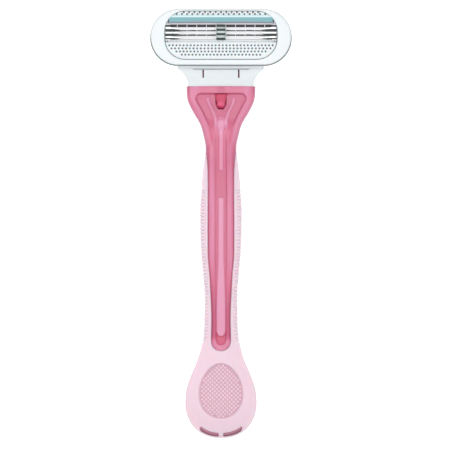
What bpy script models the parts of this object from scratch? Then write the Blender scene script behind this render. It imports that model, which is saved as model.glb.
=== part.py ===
"""Cartridge razor with a pink grip, built as separate working pieces.

The razor lies on its back: +Z comes out of the blade side, +Y points from the
tail to the head, and the floor is z = 0. All dimensions are in millimetres;
MM turns them into Blender's metres when a mesh is made.
"""
import math

import bmesh
import bpy
from mathutils import Vector

MM = 0.001
GAP = 0.3               # clearance kept between neighbouring pieces
SHARP_ANGLE = math.radians(40.0)    # edges that turn more than this stay crisp

# ---- driving dimensions -------------------------------------------------
LENGTH = 140.0
TAIL_Y = -LENGTH / 2
HEAD_Y = LENGTH / 2
HEAD_HALF_WIDTH = 23.1  # soft surround, across the razor
HEAD_DEPTH = 18.4       # soft surround, along the razor

HANDLE_FRONT_Y = 44.9   # where the handle meets the connector
BULB_Y = -58.0          # widest place of the tail, where its round end begins
BULB_ROUND = 2.2        # superellipse power of the tail's outline
# Half width of the handle, seen from above, at stations along it.
WIDTH_STATIONS = [
    (-58.0, 11.7), (-54.0, 11.3), (-50.0, 10.0), (-46.0, 8.3), (-43.0, 7.2), (-40.0, 6.4),
    (-36.0, 5.9), (-30.0, 5.6), (-22.0, 5.6), (-16.0, 6.1), (-8.0, 6.75), (0.0, 7.0),
    (6.0, 6.95), (12.0, 6.4), (18.0, 5.8), (24.7, 5.05), (28.7, 5.7), (32.6, 6.85),
    (36.5, 9.1), (40.4, 10.9), (44.9, 11.3),
]
# Top and underside heights of the handle: a shallow arch between two feet.
TOP_STATIONS = [
    (-58.0, 12.6), (-45.0, 13.0), (-35.0, 13.6), (-20.0, 14.5), (-10.0, 14.8), (0.0, 14.5),
    (10.0, 13.7), (18.0, 12.4), (24.0, 11.3), (30.0, 10.6), (36.0, 10.2), (44.9, 9.6),
]
UNDER_STATIONS = [
    (-58.0, 0.0), (-48.0, 0.3), (-35.0, 1.2), (-20.0, 2.4), (-10.0, 2.8), (0.0, 2.9),
    (10.0, 2.7), (18.0, 2.4), (24.0, 2.0), (30.0, 1.2), (36.0, 0.6), (44.9, 0.5),
]
# Squareness of the section: 2 is an ellipse, 4 a rounded box.
ROUND_STATIONS = [(-70.0, 2.5), (0.0, 2.4), (24.0, 2.6), (36.0, 4.0), (44.9, 4.0)]
# Half width of the hard core that shows along the top of the grip.
STRIP_STATIONS = [(-37.0, 3.2), (-30.0, 3.1), (-22.0, 3.4), (-16.0, 3.75), (-10.0, 4.24),
                  (17.0, 4.24), (21.5, 4.5)]
STRIP_END_Y = -41.4
STRIP_SUNK = 0.15       # how far the strip lies under the grip's surface
GRIP_FRONT_Y = 21.5     # front edge of the soft overmould
GRIP_WALL = 1.8         # thickness of the overmould
CORE_TAIL_Y = -65.0     # tail end of the buried core
TAIL_WINDOW_X = (0.65, 6.7)
TAIL_WINDOW_SCALE = (0.86, 0.955)   # its two edges, as parts of the round end
TAIL_WINDOW_Z = 7.4
THUMB_Y = -54.4         # middle of the thumb oval
THUMB_HALF = (7.2, 9.0)
THUMB_FLOOR_Z = 11.9
SECTION_POINTS = 28

# ---- head ---------------------------------------------------------------
SURROUND_Y = HEAD_Y - HEAD_DEPTH / 2
HEAD_BACK_Z = 9.4
FACE_Z = 14.2           # top of the housing's walls
SURROUND_TOP_Z = 14.7
OVAL_HALF_WIDTH = 18.2  # housing, inside the surround
OVAL_LOW_Y = 54.0
OVAL_HIGH_Y = 69.2
OVAL_CORNER = 6.4
FLANGE_HALF_WIDTH = 20.4
FLANGE_LOW_Y = 54.4
FLANGE_HIGH_Y = 68.8
FLANGE_TOP_Z = 11.4
SEAT_Z = 12.3           # floor under the pads and the strip
PAD_TOP_Z = 14.5
GUARD_PAD_Y = 59.1      # upper edge of the guard pad
STRIP_Y = (65.5, 67.7)
STRIP_HALF = 17.0
CAP_PAD_Y = 68.0        # lower edge of the cap pad
WELL_Y = (59.6, 64.9)   # opening that holds the blades
WELL_HALF = 17.5
WELL_FLOOR_Z = 10.3
BLADE_HALF = 16.8
BLADE_EDGE_Y = (63.1, 61.7, 60.0)   # cutting edges, from the cap to the guard
BLADE_DEPTH = (0.9, 1.0, 1.2)       # edge to heel, as seen from above
BLADE_TOP_Z = 14.3
BLADE_SLOPE = math.tan(math.radians(22.0))
BLADE_THICK = 0.12
SUPPORT_THICK = 0.25
SUPPORT_FOOT_Z = 11.3
BLADE_TRAVEL = 0.25
FINGER_TOP_Z = SUPPORT_FOOT_Z - BLADE_TRAVEL - 0.15
FINGER_THICK = 0.3
CLIP_Z = (14.6, 14.85)

# ---- pivot, plunger and release ------------------------------------------
PIVOT = (56.5, 7.6)     # y, z of the cartridge's axis
JOURNAL_R = 1.0
LUG_R = 2.3
LUG_X = (10.6, 12.2)
ARM_X = (12.5, 14.2)
ARM_R = 1.5
CAM_Y = (59.5, 60.5)    # rib on the housing's back that the plunger pushes
CAM_TIP_Z = 4.6
CAM_HALF = 2.3
NOSE_HALF = 7.3
NOSE_Z = (1.8, 6.8)
NOSE_Y = (36.7, 55.3)
NOSE_REAR_HALF = 6.6
CONNECTOR_TOP_Z = HEAD_BACK_Z - GAP
CONNECTOR_FRONT_Y = 58.5
PLUNGER_TIP_Y = CAM_Y[0] - GAP
PLUNGER_Z = (3.3, 5.5)
PLUNGER_HALF = 2.5
FORK_Z = (3.2, 5.4)
FORK_X = (4.4, 5.8)
FORK_TIP_Y = 53.0
BUTTON_Y = (37.8, 42.4)


# ---- curves ----------------------------------------------------------------
def through(stations, y):
    """Smooth value at y through the (y, value) stations, flat beyond both ends."""
    if y <= stations[0][0]:
        return stations[0][1]
    if y >= stations[-1][0]:
        return stations[-1][1]
    i = max(k for k in range(len(stations) - 1) if stations[k][0] <= y)

    def slope(k):
        lo, hi = stations[max(k - 1, 0)], stations[min(k + 1, len(stations) - 1)]
        return (hi[1] - lo[1]) / (hi[0] - lo[0])

    (y0, v0), (y1, v1) = stations[i], stations[i + 1]
    h = y1 - y0
    t = (y - y0) / h
    return (v0 * (1 + 2 * t) * (1 - t) ** 2 + v1 * t * t * (3 - 2 * t)
            + h * slope(i) * t * (1 - t) ** 2 - h * slope(i + 1) * t * t * (1 - t))


def tail_shrink(y, tip):
    """Scale of the section on a round tail end: 1 before it, 0 at its tip."""
    t = min(max((BULB_Y - y) / (BULB_Y - tip), 0.0), 1.0)
    return (1 - t ** BULB_ROUND) ** (1 / BULB_ROUND)


def handle_section(y, inset=0.0, tip=TAIL_Y):
    """Closed section of the handle at y, `inset` inside its outer surface."""
    shrink = tail_shrink(y, tip)
    half = (through(WIDTH_STATIONS, y) - inset) * shrink
    top, under = through(TOP_STATIONS, y), through(UNDER_STATIONS, y)
    middle = (top + under) / 2
    height = ((top - under) / 2 - inset) * shrink
    power = 2 / through(ROUND_STATIONS, y)
    ring = []
    for k in range(SECTION_POINTS):
        a = 2 * math.pi * k / SECTION_POINTS
        c, s = math.cos(a), math.sin(a)
        ring.append((half * math.copysign(abs(c) ** power, c), y,
                     middle + height * math.copysign(abs(s) ** power, s)))
    return ring


def top_surface(x, y):
    """Height of the handle's outer surface above (x, y), before its tail end."""
    top, under = through(TOP_STATIONS, y), through(UNDER_STATIONS, y)
    power = through(ROUND_STATIONS, y)
    across = min(abs(x) / through(WIDTH_STATIONS, y), 1.0)
    return (top + under) / 2 + (top - under) / 2 * (1 - across ** power) ** (1 / power)


def steps(start, end, count):
    return [start + (end - start) * k / count for k in range(count + 1)]


def tail_steps(tip=TAIL_Y):
    """Stations on the round end, closer together towards its tip."""
    return [BULB_Y - (BULB_Y - tip) * math.sin(math.radians(a)) for a in (87, 74, 58, 43, 28, 14)]


def rounded_rect(half, y_low, y_high, corner, arc=6):
    """Outline of a rounded rectangle centred on x = 0."""
    points = []
    for sx, cy, turn in ((1, y_low + corner, -90), (1, y_high - corner, 0),
                         (-1, y_high - corner, 90), (-1, y_low + corner, 180)):
        for k in range(arc + 1):
            a = math.radians(turn + 90 * k / arc)
            points.append((sx * (half - corner) + corner * math.cos(a), cy + corner * math.sin(a)))
    return points


# ---- mesh helpers ------------------------------------------------------------
def new_object(name, bm):
    """Object from a bmesh in millimetres, with its origin at the world's."""
    bmesh.ops.remove_doubles(bm, verts=bm.verts, dist=1e-4)
    bmesh.ops.recalc_face_normals(bm, faces=bm.faces)
    bmesh.ops.scale(bm, vec=(MM, MM, MM), verts=bm.verts)
    mesh = bpy.data.meshes.new(name)
    bm.to_mesh(mesh)
    bm.free()
    obj = bpy.data.objects.new(name, mesh)
    bpy.context.scene.collection.objects.link(obj)
    return obj


def box(name, x, y, z):
    """Block between the (low, high) pairs x, y and z."""
    bm = bmesh.new()
    bmesh.ops.create_cube(bm, size=1.0)
    for v in bm.verts:
        v.co = Vector((x[0] if v.co.x < 0 else x[1], y[0] if v.co.y < 0 else y[1],
                       z[0] if v.co.z < 0 else z[1]))
    return new_object(name, bm)


def prism(name, outline, low, high, axis="z"):
    """Outline extruded from low to high: (x, y) along z, or (y, z) along x."""
    def place(p, level):
        return (p[0], p[1], level) if axis == "z" else (level, p[0], p[1])

    bm = bmesh.new()
    face = bm.faces.new([bm.verts.new(place(p, low)) for p in outline])
    grown = bmesh.ops.extrude_face_region(bm, geom=[face])
    shift = Vector(place((0.0, 0.0), high - low))
    moved = [v for v in grown["geom"] if isinstance(v, bmesh.types.BMVert)]
    bmesh.ops.translate(bm, vec=shift, verts=moved)
    return new_object(name, bm)


def loft(name, rings):
    """Skin over rings with the same number of points, closed at both ends."""
    bm = bmesh.new()
    rows = [[bm.verts.new(p) for p in ring] for ring in rings]
    count = len(rows[0])
    for a, b in zip(rows, rows[1:]):
        for k in range(count):
            bm.faces.new((a[k], a[(k + 1) % count], b[(k + 1) % count], b[k]))
    bm.faces.new(rows[0])
    bm.faces.new(reversed(rows[-1]))
    return new_object(name, bm)


def rod(name, centre, radius, x_low, x_high, sides=20):
    """Cylinder along x about the (y, z) centre."""
    outline = [(centre[0] + radius * math.cos(2 * math.pi * k / sides),
                centre[1] + radius * math.sin(2 * math.pi * k / sides)) for k in range(sides)]
    return prism(name, outline, x_low, x_high, axis="x")


def coil(name, y_low, y_high, z, radius, wire, turns):
    """Compression spring along y: a helix of round wire with filled ends."""
    per_turn, sides = 12, 6
    count = int(turns * per_turn)
    rings = []
    for k in range(count + 1):
        a = 2 * math.pi * k / per_turn
        y = y_low + wire + (y_high - y_low - 2 * wire) * k / count
        out = Vector((math.cos(a), 0.0, math.sin(a)))
        centre = Vector((0.0, y, z)) + radius * out
        rings.append([centre + wire * (math.cos(b) * out + math.sin(b) * Vector((0, 1, 0)))
                      for b in (2 * math.pi * j / sides for j in range(sides))])
    return loft(name, rings)


def combine(target, tool, operation):
    """Apply a Boolean of `tool` to `target`, then remove the tool."""
    modifier = target.modifiers.new(operation.title(), "BOOLEAN")
    modifier.operation = operation
    modifier.solver = "EXACT"
    modifier.object = tool
    bpy.context.view_layer.update()
    evaluated = target.evaluated_get(bpy.context.evaluated_depsgraph_get())
    mesh = bpy.data.meshes.new_from_object(evaluated)
    mesh.name = target.name
    target.modifiers.clear()
    target.data = mesh
    bpy.data.objects.remove(tool)
    return target


def cut(target, tool):
    return combine(target, tool, "DIFFERENCE")


def join(target, tool):
    return combine(target, tool, "UNION")


def paint(obj, rgb, roughness, metallic=0.0, transmission=0.0):
    """Smooth the object's rounds and give it its own Principled material."""
    obj.data.shade_smooth()
    obj.data.set_sharp_from_angle(angle=SHARP_ANGLE)
    material = bpy.data.materials.new(obj.name)
    material.use_nodes = True
    shader = material.node_tree.nodes["Principled BSDF"]
    shader.inputs["Base Color"].default_value = (*rgb, 1.0)
    shader.inputs["Roughness"].default_value = roughness
    shader.inputs["Metallic"].default_value = metallic
    shader.inputs["Transmission Weight"].default_value = transmission
    obj.data.materials.clear()
    obj.data.materials.append(material)
    return obj


def mirrored(make):
    """Build a left and a right copy with make(name suffix, sign)."""
    return [make("left", -1), make("right", 1)]


def side(sign, low, high):
    """(low, high) pair on the chosen side of x = 0."""
    return (low, high) if sign > 0 else (-high, -low)


# ---- handle ----------------------------------------------------------------
def inner_core(name, grow=0.0):
    """The core's buried length with the strip that shows, `grow` larger all round."""
    inset, tip = GRIP_WALL - grow, CORE_TAIL_Y - grow
    ys = tail_steps(tip) + steps(BULB_Y, GRIP_FRONT_Y + 1.0, 26)
    buried = loft(name, [handle_section(y, inset, tip) for y in ys])
    rings = []
    end = STRIP_END_Y - grow
    round_reach = through(STRIP_STATIONS, STRIP_END_Y)
    for y in [end + round_reach * (1 - math.cos(math.radians(a))) for a in (12, 30, 50, 70, 90)] \
            + steps(end + round_reach + 2.0, GRIP_FRONT_Y + 1.0, 16):
        t = max(0.0, 1 - (y - end) / round_reach)
        half = (through(STRIP_STATIONS, y) + grow) * math.sqrt(1 - t * t)
        low = (through(TOP_STATIONS, y) + through(UNDER_STATIONS, y)) / 2
        lift = 2.0 if grow else -STRIP_SUNK
        crown = [(half * k / 3, y, top_surface(half * k / 3, y) + lift) for k in (3, 2, 1, 0, -1, -2, -3)]
        rings.append([(-half, y, low), (half, y, low)] + crown)
    return join(buried, loft("strip", rings))


def shield_outline():
    """Recess on top of the handle that gives the thumb room at the button."""
    right = [(3.2, 31.8), (4.4, 33.0), (8.0, 40.0), (8.3, 41.2), (7.7, 42.3), (6.2, 42.7)]
    return right + [(-x, y) for x, y in reversed(right)]


def make_handle_core():
    core = inner_core("handle_core")
    ys = steps(GRIP_FRONT_Y, 30.0, 5) + steps(31.5, HANDLE_FRONT_Y, 9)
    core = join(core, loft("front", [handle_section(y) for y in ys]))
    cut(core, prism("recess", shield_outline(), 8.7, 12.0))
    cut(core, box("pocket", (-NOSE_REAR_HALF - GAP, NOSE_REAR_HALF + GAP),
                  (NOSE_Y[0] - GAP, HANDLE_FRONT_Y + 1), (NOSE_Z[0] - GAP, NOSE_Z[1] + GAP)))
    cut(core, box("button slot", (-2.2, 2.2), (BUTTON_Y[0] - GAP, HANDLE_FRONT_Y + 1), (6.0, 8.5)))
    cut(core, box("button throat", (-2.2, 2.2), (BUTTON_Y[0] - GAP, 42.9), (8.0, 12.0)))
    return paint(core, (0.70, 0.20, 0.33), 0.18, transmission=0.4)


def tail_window(sign):
    """Curved pocket in the tail of the overmould."""
    def edge(scale, x):
        t = abs(x) / (through(WIDTH_STATIONS, BULB_Y) * scale)
        return BULB_Y + (TAIL_Y - BULB_Y) * scale * (1 - t ** BULB_ROUND) ** (1 / BULB_ROUND)

    xs = steps(*TAIL_WINDOW_X, 6)
    inner, outer = TAIL_WINDOW_SCALE
    outline = [(sign * x, edge(outer, x)) for x in xs] + [(sign * x, edge(inner, x)) for x in xs[::-1]]
    return prism("tail window", outline, TAIL_WINDOW_Z, 14.0)


def thumb_outline():
    """Egg with its blunt end towards the tail."""
    points = []
    for k in range(32):
        a = 2 * math.pi * k / 32
        y = THUMB_Y + THUMB_HALF[1] * math.sin(a)
        points.append((THUMB_HALF[0] * math.cos(a) * (1 - 0.13 * math.sin(a)), y))
    return points


def make_grip_overmould():
    ys = tail_steps() + steps(BULB_Y, GRIP_FRONT_Y - GAP, 34)
    grip = loft("grip_overmould", [handle_section(y) for y in ys])
    cut(grip, inner_core("core clearance", GAP))
    cut(grip, prism("thumb recess", thumb_outline(), THUMB_FLOOR_Z, 14.0))
    for sign in (-1, 1):
        cut(grip, tail_window(sign))
    return paint(grip, (0.87, 0.63, 0.73), 0.45)


def make_docking_nose():
    nose = box("docking_nose", (-NOSE_REAR_HALF, NOSE_REAR_HALF), (NOSE_Y[0], 46.0), NOSE_Z)
    lead = [(-NOSE_HALF, HANDLE_FRONT_Y + GAP), (NOSE_HALF, HANDLE_FRONT_Y + GAP),
            (NOSE_HALF, 53.6), (NOSE_HALF - 1.2, NOSE_Y[1]), (1.2 - NOSE_HALF, NOSE_Y[1]),
            (-NOSE_HALF, 53.6)]
    join(nose, prism("lead", lead, *NOSE_Z))
    cut(nose, box("fork space", (-6.1, 6.1), (NOSE_Y[0] - 1, 43.2), (2.9, 5.7)))
    cut(nose, box("leg slot", (-1.5, 1.5), (NOSE_Y[0] - 1, 41.9), (5.0, 8.0)))
    for sign in (-1, 1):
        cut(nose, box("arm slot", side(sign, 4.1, 6.1), (42.0, NOSE_Y[1] + 1), (2.9, 5.7)))
    cut(nose, box("spring bore", (-3.6, 3.6), (43.8, 52.0), (2.8, 6.0)))
    cut(nose, box("guide", (-PLUNGER_HALF - GAP, PLUNGER_HALF + GAP), (51.0, NOSE_Y[1] + 1),
                  (PLUNGER_Z[0] - GAP, PLUNGER_Z[1] + GAP)))
    return paint(nose, (0.55, 0.13, 0.24), 0.3)


def make_release_button():
    button = prism("release_button", [(-1.3, 38.4), (-0.7, BUTTON_Y[0]), (0.7, BUTTON_Y[0]),
                                      (1.3, 38.4), (1.9, BUTTON_Y[1]), (-1.9, BUTTON_Y[1])], 7.4, 8.2)
    join(button, box("thumb rest", (-1.2, 1.2), (38.3, 40.2), (8.0, 9.4)))
    join(button, box("leg", (-0.6, 0.6), (37.9, 38.8), (5.0, 7.6)))
    join(button, box("crossbar", (-FORK_X[1], FORK_X[1]), (37.6, 38.8), FORK_Z))
    for sign in (-1, 1):
        join(button, box("arm", side(sign, *FORK_X), (38.0, FORK_TIP_Y), FORK_Z))
    return paint(button, (0.50, 0.03, 0.10), 0.3)


def make_plunger():
    plunger = box("plunger", (-PLUNGER_HALF, PLUNGER_HALF), (50.5, PLUNGER_TIP_Y), PLUNGER_Z)
    join(plunger, box("flange", (-3.3, 3.3), (50.3, 51.7), (3.1, 5.7)))
    join(plunger, box("pin", (-0.5, 0.5), (48.4, 50.6), (3.9, 4.9)))
    return paint(plunger, (0.86, 0.87, 0.87), 0.4)


def make_springs():
    steel = ((0.62, 0.63, 0.65), 0.25, 1.0)
    paint(coil("plunger_spring", 44.1, 50.0, 4.4, 1.15, 0.2, 4), *steel)
    paint(coil("button_spring", 39.1, 42.9, 4.3, 1.0, 0.15, 4), *steel)


# ---- connector ---------------------------------------------------------------
def connector_outline():
    """Wings and pivot arms from above: narrow at the handle, flared at the head."""
    right = [(10.8, HANDLE_FRONT_Y), (10.8, 46.2), (11.5, 48.0), (12.7, 49.6), (ARM_X[1], 50.7),
             (ARM_X[1], PIVOT[0]), (ARM_X[0], PIVOT[0]), (ARM_X[0], 53.5)]
    return right + [(-x, y) for x, y in reversed(right)]


def make_connector():
    wings = prism("connector", connector_outline(), PIVOT[1] - ARM_R, CONNECTOR_TOP_Z)
    profile = [(HANDLE_FRONT_Y, 1.2), (46.0, 0.0), (CONNECTOR_FRONT_Y, 0.0),
               (CONNECTOR_FRONT_Y, 7.8), (PIVOT[0] - 0.3, CONNECTOR_TOP_Z),
               (HANDLE_FRONT_Y, CONNECTOR_TOP_Z)]
    join(wings, prism("socket block", profile, -9.4, 9.4, axis="x"))
    for sign in (-1, 1):
        low, high = side(sign, *ARM_X)
        join(wings, rod("arm end", PIVOT, ARM_R, low, high))
        low, high = side(sign, ARM_X[0] - 1.6, ARM_X[0] + 0.5)
        join(wings, rod("journal", PIVOT, JOURNAL_R, low, high))
        cut(wings, box("slit", side(sign, 5.55, 6.05), (47.7, 54.4), (6.5, 10.0)))
    cut(wings, box("socket", (-NOSE_HALF - GAP, NOSE_HALF + GAP),
                   (HANDLE_FRONT_Y - 1, NOSE_Y[1] + GAP), (NOSE_Z[0] - GAP, NOSE_Z[1] + GAP)))
    cut(wings, box("plunger window", (-PLUNGER_HALF - 0.4, PLUNGER_HALF + 0.4), (55.0, 58.0),
                   (PLUNGER_Z[0] - 0.6, PLUNGER_Z[1] + 0.6)))
    cut(wings, box("cam notch", (-3.2, 3.2), (56.9, CONNECTOR_FRONT_Y + 1), (2.1, 10.0)))
    return paint(wings, (0.86, 0.89, 0.89), 0.35)


# ---- cartridge ---------------------------------------------------------------
def oval(name, grow, low, high):
    return prism(name, rounded_rect(OVAL_HALF_WIDTH + grow, OVAL_LOW_Y - grow, OVAL_HIGH_Y + grow,
                                    OVAL_CORNER + grow), low, high)


def flange(name, grow, low, high):
    return prism(name, rounded_rect(FLANGE_HALF_WIDTH + grow, FLANGE_LOW_Y - grow,
                                    FLANGE_HIGH_Y + grow, 6.0 + grow), low, high)


def make_lug(sign):
    """Ear on the housing's back with the bore for a journal."""
    y, z = PIVOT
    outline = [(y + LUG_R * math.cos(math.radians(a)), z + LUG_R * math.sin(math.radians(a)))
               for a in range(180, 361, 15)]
    outline += [(y + LUG_R, HEAD_BACK_Z + 0.5), (y - LUG_R, HEAD_BACK_Z + 0.5)]
    low, high = side(sign, *LUG_X)
    lug = prism("lug", outline, low, high, axis="x")
    return cut(lug, rod("bore", PIVOT, JOURNAL_R + GAP, low - 1, high + 1))


def make_housing():
    housing = oval("cartridge_housing", 0.0, HEAD_BACK_Z, FACE_Z)
    join(housing, flange("flange", 0.0, HEAD_BACK_Z, FLANGE_TOP_Z))
    everywhere = (-30.0, 30.0)
    cut(housing, box("guard seat", everywhere, (50.0, GUARD_PAD_Y + GAP), (SEAT_Z, 20.0)))
    cut(housing, box("cap seat", everywhere, (CAP_PAD_Y - GAP, 75.0), (SEAT_Z, 20.0)))
    cut(housing, box("strip slot", (-STRIP_HALF - GAP, STRIP_HALF + GAP),
                     (STRIP_Y[0] - GAP, CAP_PAD_Y), (SEAT_Z, 20.0)))
    cut(housing, box("blade well", (-WELL_HALF, WELL_HALF), WELL_Y, (WELL_FLOOR_Z, 20.0)))
    for sign in (-1, 1):
        for x_pair in ((3.0, 8.4), (9.8, 15.4)):
            cut(housing, box("rinse window", side(sign, *x_pair), (60.3, 64.3), (5.0, 12.0)))
        join(housing, make_lug(sign))
        for heel in (edge + depth for edge, depth in zip(BLADE_EDGE_Y, BLADE_DEPTH)):
            join(housing, box("spring finger", side(sign, 13.0, WELL_HALF + 0.3),
                              (heel - 0.55, heel + 0.25), (FINGER_TOP_Z - FINGER_THICK, FINGER_TOP_Z)))
    join(housing, box("cam rib", (-CAM_HALF, CAM_HALF), CAM_Y, (CAM_TIP_Z, HEAD_BACK_Z + 0.5)))
    return paint(housing, (0.88, 0.90, 0.91), 0.35)


def make_surround():
    end_radius = HEAD_DEPTH / 2 - 0.01
    outer = rounded_rect(HEAD_HALF_WIDTH, HEAD_Y - HEAD_DEPTH, HEAD_Y, end_radius, arc=12)
    ring = prism("soft_surround", outer, HEAD_BACK_Z + 0.4, SURROUND_TOP_Z - 0.5)
    middle_y = SURROUND_Y
    for grow, low, high in ((-0.6, SURROUND_TOP_Z - 0.6, SURROUND_TOP_Z),
                            (-0.5, HEAD_BACK_Z, HEAD_BACK_Z + 0.5)):
        rim = rounded_rect(HEAD_HALF_WIDTH + grow, middle_y - HEAD_DEPTH / 2 - grow * 0.6,
                           middle_y + HEAD_DEPTH / 2 + grow * 0.5, end_radius + grow, arc=12)
        join(ring, prism("rim", rim, low, high))
    cut(ring, oval("inner", GAP, HEAD_BACK_Z - 1, SURROUND_TOP_Z + 1))
    cut(ring, flange("flange groove", GAP, HEAD_BACK_Z - 1, FLANGE_TOP_Z + GAP))
    return paint(ring, (0.90, 0.94, 0.95), 0.5)


def make_pads():
    white, teal = ((0.90, 0.93, 0.94), 0.6), ((0.20, 0.46, 0.48), 0.35)
    for name, grow, half, y_pair, look in (
            ("guard_pad", 0.0, 30.0, (50.0, GUARD_PAD_Y), white),
            ("cap_pad", 0.0, 30.0, (CAP_PAD_Y, 75.0), white),
            ("lubricating_strip", -0.6, STRIP_HALF, STRIP_Y, teal)):
        pad = oval(name, grow, SEAT_Z + GAP, PAD_TOP_Z)
        combine(pad, box("limit", (-half, half), y_pair, (0.0, 30.0)), "INTERSECT")
        paint(pad, *look)


def make_blade(number):
    """One blade and the bent steel support that carries it."""
    edge, depth = BLADE_EDGE_Y[number], BLADE_DEPTH[number]
    heel = edge + depth
    drop = depth * BLADE_SLOPE
    blade = prism(f"blade_{number + 1}", [
        (edge, BLADE_TOP_Z), (heel, BLADE_TOP_Z - drop), (heel, BLADE_TOP_Z - drop - BLADE_THICK),
        (edge + 0.25, BLADE_TOP_Z - 0.25 * BLADE_SLOPE - BLADE_THICK)], -BLADE_HALF, BLADE_HALF, "x")
    paint(blade, (0.80, 0.82, 0.83), 0.2, metallic=1.0)

    def under(y, depth_below):
        return y, BLADE_TOP_Z - (y - edge) * BLADE_SLOPE - depth_below

    top = BLADE_THICK + 0.15
    support = prism(f"blade_support_{number + 1}", [
        under(edge + 0.4, top), under(heel, top), (heel, SUPPORT_FOOT_Z),
        (heel - SUPPORT_THICK, SUPPORT_FOOT_Z), under(heel - SUPPORT_THICK, top + SUPPORT_THICK),
        under(edge + 0.4, top + SUPPORT_THICK)], -BLADE_HALF, BLADE_HALF, "x")
    paint(support, (0.35, 0.36, 0.38), 0.35, metallic=1.0)


def make_end_clip(label, sign):
    """Metal clip that keeps the blade ends down with three tapered fingers."""
    clip = box(f"end_clip_{label}", side(sign, 16.4, 18.0), (59.9, 64.9), CLIP_Z)
    join(clip, box("leg", side(sign, 17.05, 17.3), (60.0, 64.8), (SUPPORT_FOOT_Z, CLIP_Z[0] + 0.1)))
    for edge, depth in zip(BLADE_EDGE_Y, BLADE_DEPTH):
        root, tip = 0.42 * depth, 0.12 * depth
        middle = edge + 0.5 * depth
        finger = [(16.6, middle - root), (16.6, middle + root), (12.7, middle + tip), (12.7, middle - tip)]
        join(clip, prism("finger", [(sign * x, y) for x, y in finger], *CLIP_Z))
    return paint(clip, (0.25, 0.26, 0.28), 0.35, metallic=1.0)


def make_centre_clip():
    clip = box("centre_clip", (-1.5, 1.5), (59.8, 64.6), CLIP_Z)
    join(clip, box("leg", (-1.2, 1.2), (64.3, 64.6), (SUPPORT_FOOT_Z, CLIP_Z[0] + 0.1)))
    return paint(clip, (0.33, 0.36, 0.37), 0.4, metallic=0.6)


def main():
    for old in list(bpy.data.objects):
        bpy.data.objects.remove(old)
    make_handle_core()
    make_grip_overmould()
    make_docking_nose()
    make_release_button()
    make_plunger()
    make_springs()
    make_connector()
    make_housing()
    make_surround()
    make_pads()
    for number in range(len(BLADE_EDGE_Y)):
        make_blade(number)
    mirrored(make_end_clip)
    make_centre_clip()


main()
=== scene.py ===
"""Looks of the cartridge razor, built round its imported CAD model.

Lengths in the modelling functions are millimetres, with +Y towards the head and
+Z out of the blade side; MM turns them into metres when a piece is finished.
"""
import math

import bmesh
import bpy
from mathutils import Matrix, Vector


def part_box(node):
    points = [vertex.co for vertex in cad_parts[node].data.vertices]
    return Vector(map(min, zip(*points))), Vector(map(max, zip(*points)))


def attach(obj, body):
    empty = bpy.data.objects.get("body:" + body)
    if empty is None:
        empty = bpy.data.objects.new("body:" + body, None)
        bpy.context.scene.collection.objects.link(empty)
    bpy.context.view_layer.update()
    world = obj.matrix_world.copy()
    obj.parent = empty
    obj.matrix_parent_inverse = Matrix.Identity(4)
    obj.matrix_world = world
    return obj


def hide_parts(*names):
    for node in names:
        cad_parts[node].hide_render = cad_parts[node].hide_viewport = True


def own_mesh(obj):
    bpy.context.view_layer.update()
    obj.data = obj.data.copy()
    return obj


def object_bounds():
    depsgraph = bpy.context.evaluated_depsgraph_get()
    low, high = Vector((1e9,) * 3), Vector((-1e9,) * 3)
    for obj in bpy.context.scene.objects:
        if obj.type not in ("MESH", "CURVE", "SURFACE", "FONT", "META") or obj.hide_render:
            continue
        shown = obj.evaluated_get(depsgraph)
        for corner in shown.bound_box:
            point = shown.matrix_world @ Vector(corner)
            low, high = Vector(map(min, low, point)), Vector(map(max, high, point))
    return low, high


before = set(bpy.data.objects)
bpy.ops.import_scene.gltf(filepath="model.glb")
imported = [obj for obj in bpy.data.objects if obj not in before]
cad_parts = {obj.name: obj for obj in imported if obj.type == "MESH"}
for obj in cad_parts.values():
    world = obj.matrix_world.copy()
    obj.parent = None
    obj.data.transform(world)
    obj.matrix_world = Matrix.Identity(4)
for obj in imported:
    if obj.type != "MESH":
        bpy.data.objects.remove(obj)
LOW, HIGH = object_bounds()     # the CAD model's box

bl_info = {
    "name": "Cartridge Razor",
    "version": (1, 0, 0),
    "blender": (4, 5, 0),
    "location": "View3D > Sidebar > Razor",
    "description": "Builds the finished pieces and the studio of a cartridge razor",
    "category": "Add Mesh",
}

MM = 0.001
SIDES = (("left", -1), ("right", 1))


# ---- places taken from the frame -------------------------------------------
def span(node):
    """((x low, x high), (y low, y high), (z low, z high)) of a CAD node, in millimetres."""
    low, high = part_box(node)
    return tuple((low[k] / MM, high[k] / MM) for k in range(3))


CORE = span("handle_core")
GRIP = span("grip_overmould")
SURROUND = span("soft_surround")
GUARD = span("guard_pad")
CAP = span("cap_pad")
STRIP = span("lubricating_strip")

TAIL_Y = GRIP[1][0]
FRONT_Y = CORE[1][1]
BULB_Y = TAIL_Y + 12.0      # where the tail's round end begins
BULB_ROUND = 2.2
WIDTH_STATIONS = [
    (-58.0, 11.7), (-54.0, 11.3), (-50.0, 10.0), (-46.0, 8.3), (-43.0, 7.2), (-40.0, 6.4),
    (-36.0, 5.9), (-30.0, 5.6), (-22.0, 5.6), (-16.0, 6.1), (-8.0, 6.75), (0.0, 7.0),
    (6.0, 6.95), (12.0, 6.4), (18.0, 5.8), (24.7, 5.05), (28.7, 5.7), (32.6, 6.85),
    (36.5, 9.1), (40.4, 10.9), (44.9, 11.3),
]
TOP_STATIONS = [
    (-58.0, 12.6), (-45.0, 13.0), (-35.0, 13.6), (-20.0, 14.5), (-10.0, 14.8), (0.0, 14.5),
    (10.0, 13.7), (18.0, 12.4), (24.0, 11.3), (30.0, 10.6), (36.0, 10.2), (44.9, 9.6),
]
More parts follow.
